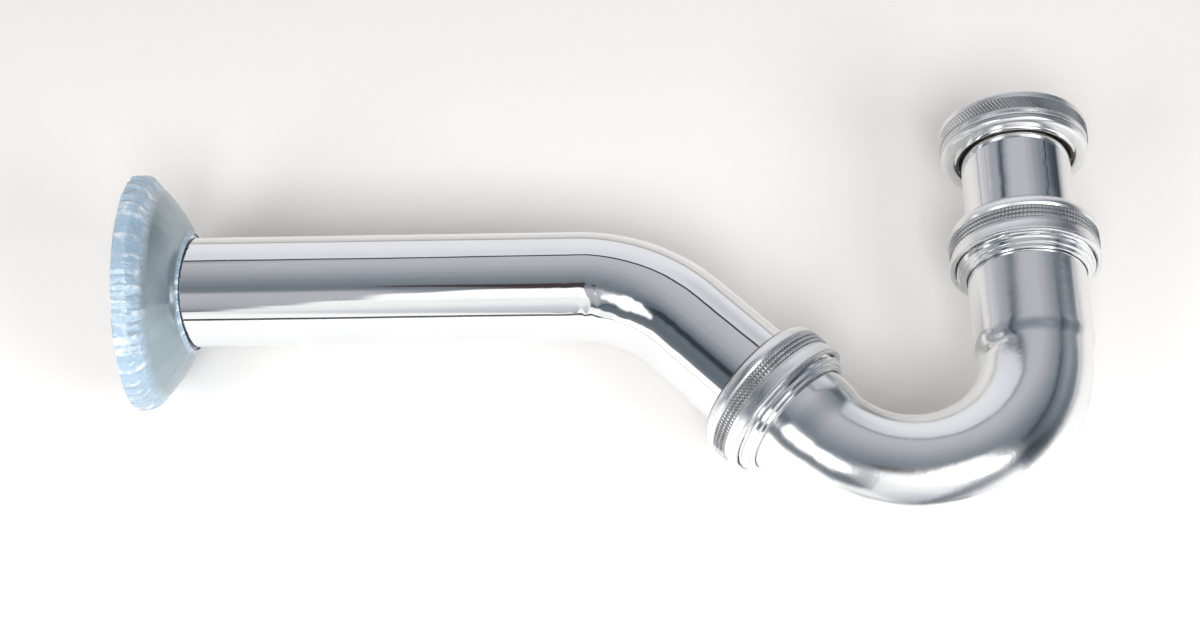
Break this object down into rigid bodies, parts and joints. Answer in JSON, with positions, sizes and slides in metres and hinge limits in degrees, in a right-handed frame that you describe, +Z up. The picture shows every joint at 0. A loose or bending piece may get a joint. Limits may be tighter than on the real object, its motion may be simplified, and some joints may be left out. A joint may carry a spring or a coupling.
{
  "type": "bidet trap",
  "caption": "Chromed tubular trap for a bidet, with a union nut, a U-bend on two slip joints and a wall tube with a sliding flange.",
  "frame": {"origin": "centre of the gasket's upper face, where the bidet's waste is seated", "axes": "+Z up along the inlet tube, out of the union nut's mouth; -X towards the wall; every tube's centre line lies in Y = 0"},
  "size_m": [0.28, 0.068, 0.1282],
  "materials": {
    "chrome": "polished chrome on brass",
    "brass": "plated turned brass",
    "rubber": "matt black rubber",
    "film": "thin pale blue protective film"
  },
  "bodies": {
    "inlet": {"inlet_tube": "chrome", "top_gasket": "rubber"},
    "union": {"top_union_nut": "chrome"},
    "inlet_packing": {"inlet_seal": "rubber"},
    "bend": {"u_bend": "chrome", "inlet_collar": "brass", "outlet_collar": "brass"},
    "inlet_ring": {"inlet_friction_ring": "brass"},
    "inlet_nut": {"inlet_slip_nut": "chrome"},
    "outlet_packing": {"outlet_seal": "rubber"},
    "outlet_ring": {"outlet_friction_ring": "brass"},
    "outlet_nut": {"outlet_slip_nut": "chrome"},
    "outlet": {"wall_tube": "chrome"},
    "flange": {"wall_flange": "chrome", "flange_film": "film"}
  },
  "joints": [
    {"name": "union_nut_spin", "type": "hinge", "parent": "inlet", "child": "union", "pos_m": [0, 0, 0], "axis": [0, 0, 1], "continuous": true},
    {"name": "height_slide", "type": "slide", "parent": "inlet", "child": "inlet_packing", "axis": [0, 0, 1], "range_m": [-0.02, 0.002]},
    {"name": "bend_swivel", "type": "hinge", "parent": "inlet_packing", "child": "bend", "pos_m": [0, 0, -0.0453], "axis": [0, 0, 1], "continuous": true},
    {"name": "inlet_nut_travel", "type": "slide", "parent": "bend", "child": "inlet_ring", "axis": [0, 0, 1], "range_m": [0, 0.00601]},
    {"name": "inlet_nut_turn", "type": "hinge", "parent": "inlet_ring", "child": "inlet_nut", "pos_m": [0, 0, -0.0353], "axis": [0, 0, 1], "range_deg": [0, 1440]},
    {"name": "outlet_swivel", "type": "hinge", "parent": "bend", "child": "outlet_packing", "pos_m": [-0.06775, 0, -0.08966], "axis": [-0.7071, 0, 0.7071], "continuous": true},
    {"name": "reach_slide", "type": "slide", "parent": "outlet_packing", "child": "outlet", "axis": [-0.7071, 0, 0.7071], "range_m": [-0.001, 0.01]},
    {"name": "outlet_nut_travel", "type": "slide", "parent": "bend", "child": "outlet_ring", "axis": [-0.7071, 0, 0.7071], "range_m": [0, 0.00601]},
    {"name": "outlet_nut_turn", "type": "hinge", "parent": "outlet_ring", "child": "outlet_nut", "pos_m": [-0.06775, 0, -0.08966], "axis": [-0.7071, 0, 0.7071], "range_deg": [0, 1440]},
    {"name": "flange_slide", "type": "slide", "parent": "outlet", "child": "flange", "axis": [1, 0, 0], "range_m": [0, 0.1]}
  ],
  "couplings": [
    {"joint": "inlet_nut_travel", "follows": "inlet_nut_turn", "m_per_rad": 0.00023873},
    {"joint": "outlet_nut_travel", "follows": "outlet_nut_turn", "m_per_rad": 0.00023873}
  ]
}
